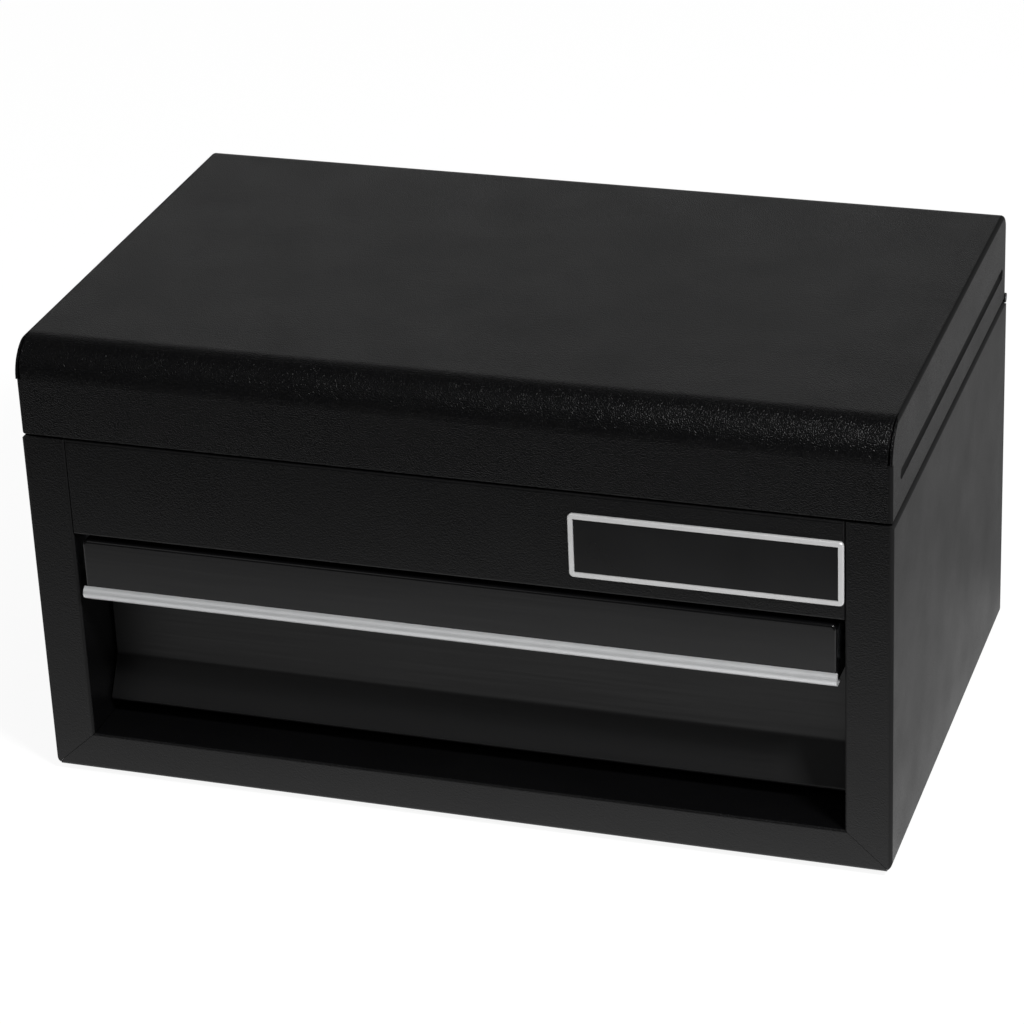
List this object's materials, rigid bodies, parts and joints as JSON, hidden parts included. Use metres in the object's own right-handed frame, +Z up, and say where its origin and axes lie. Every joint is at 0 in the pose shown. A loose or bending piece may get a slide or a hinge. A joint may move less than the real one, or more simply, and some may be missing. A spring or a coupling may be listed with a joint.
{
  "type": "mini tool box",
  "caption": "Small black sheet-steel tool chest with a hinged lid over a top compartment and one drawer on ball slides, with a full-width aluminium pull trim.",
  "frame": {"origin": "on the ground, under the middle of the box with its drawer and lid closed", "axes": "+X across the front to the right as seen by the user, +Y to the back, so the drawer opens towards -Y, +Z up"},
  "size_m": [0.31, 0.194, 0.1692],
  "materials": {
    "body_coat": "fine textured black powder coat",
    "lid_coat": "coarse textured black powder coat",
    "drawer_coat": "smooth satin black powder coat",
    "zinc_steel": "bright zinc plated",
    "ball_steel": "polished",
    "trim_aluminium": "satin anodised",
    "badge_silver": "fine brushed",
    "badge_black": "black enamel",
    "foot_rubber": "matte"
  },
  "bodies": {
    "cabinet": {"left_side_panel": "body_coat", "right_side_panel": "body_coat", "bottom_panel": "body_coat", "back_panel": "body_coat", "upper_front_panel": "body_coat", "compartment_floor": "body_coat", "badge_plate": "badge_black", "badge_rim": "badge_silver", "rubber_feet": "foot_rubber", "left_slide_rail": "zinc_steel", "right_slide_rail": "zinc_steel", "left_rear_bracket": "zinc_steel", "right_rear_bracket": "zinc_steel", "slide_rail_rivets": "zinc_steel", "hinge_body_leaf": "body_coat", "hinge_pin": "zinc_steel", "hinge_body_rivets": "zinc_steel", "body_stay_studs": "zinc_steel"},
    "drawer": {"drawer_tray": "drawer_coat", "drawer_front": "drawer_coat", "drawer_trim": "trim_aluminium", "left_drawer_runner": "zinc_steel", "right_drawer_runner": "zinc_steel", "drawer_runner_rivets": "zinc_steel"},
    "left_cage": {"left_ball_cage": "zinc_steel", "left_slide_balls": "ball_steel"},
    "right_cage": {"right_ball_cage": "zinc_steel", "right_slide_balls": "ball_steel"},
    "lid": {"lid_shell": "lid_coat", "hinge_lid_leaf": "body_coat", "hinge_lid_rivets": "zinc_steel", "lid_stay_pivots": "zinc_steel"},
    "left_stay": {"left_lid_stay": "zinc_steel"},
    "right_stay": {"right_lid_stay": "zinc_steel"}
  },
  "joints": [
    {"name": "lid_hinge", "type": "hinge", "parent": "cabinet", "child": "lid", "pos_m": [0, 0.0952, 0.1347], "axis": [-1, 0, 0], "range_deg": [0, 95]},
    {"name": "drawer_slide", "type": "slide", "parent": "cabinet", "child": "drawer", "axis": [0, -1, 0], "range_m": [0, 0.105]},
    {"name": "left_cage_slide", "type": "slide", "parent": "cabinet", "child": "left_cage", "axis": [0, -1, 0], "range_m": [0, 0.0525]},
    {"name": "right_cage_slide", "type": "slide", "parent": "cabinet", "child": "right_cage", "axis": [0, -1, 0], "range_m": [0, 0.0525]},
    {"name": "left_stay_pivot", "type": "hinge", "parent": "lid", "child": "left_stay", "pos_m": [-0.1504, 0.07749, 0.15304], "axis": [-1, 0, 0], "range_deg": [-47.5, 0]},
    {"name": "right_stay_pivot", "type": "hinge", "parent": "lid", "child": "right_stay", "pos_m": [0.1504, 0.07749, 0.15304], "axis": [-1, 0, 0], "range_deg": [-47.5, 0]}
  ],
  "couplings": [
    {"joint": "left_cage_slide", "follows": "drawer_slide", "ratio": 0.5},
    {"joint": "right_cage_slide", "follows": "drawer_slide", "ratio": 0.5},
    {"joint": "left_stay_pivot", "follows": "lid_hinge", "ratio": -0.5},
    {"joint": "right_stay_pivot", "follows": "lid_hinge", "ratio": -0.5}
  ]
}
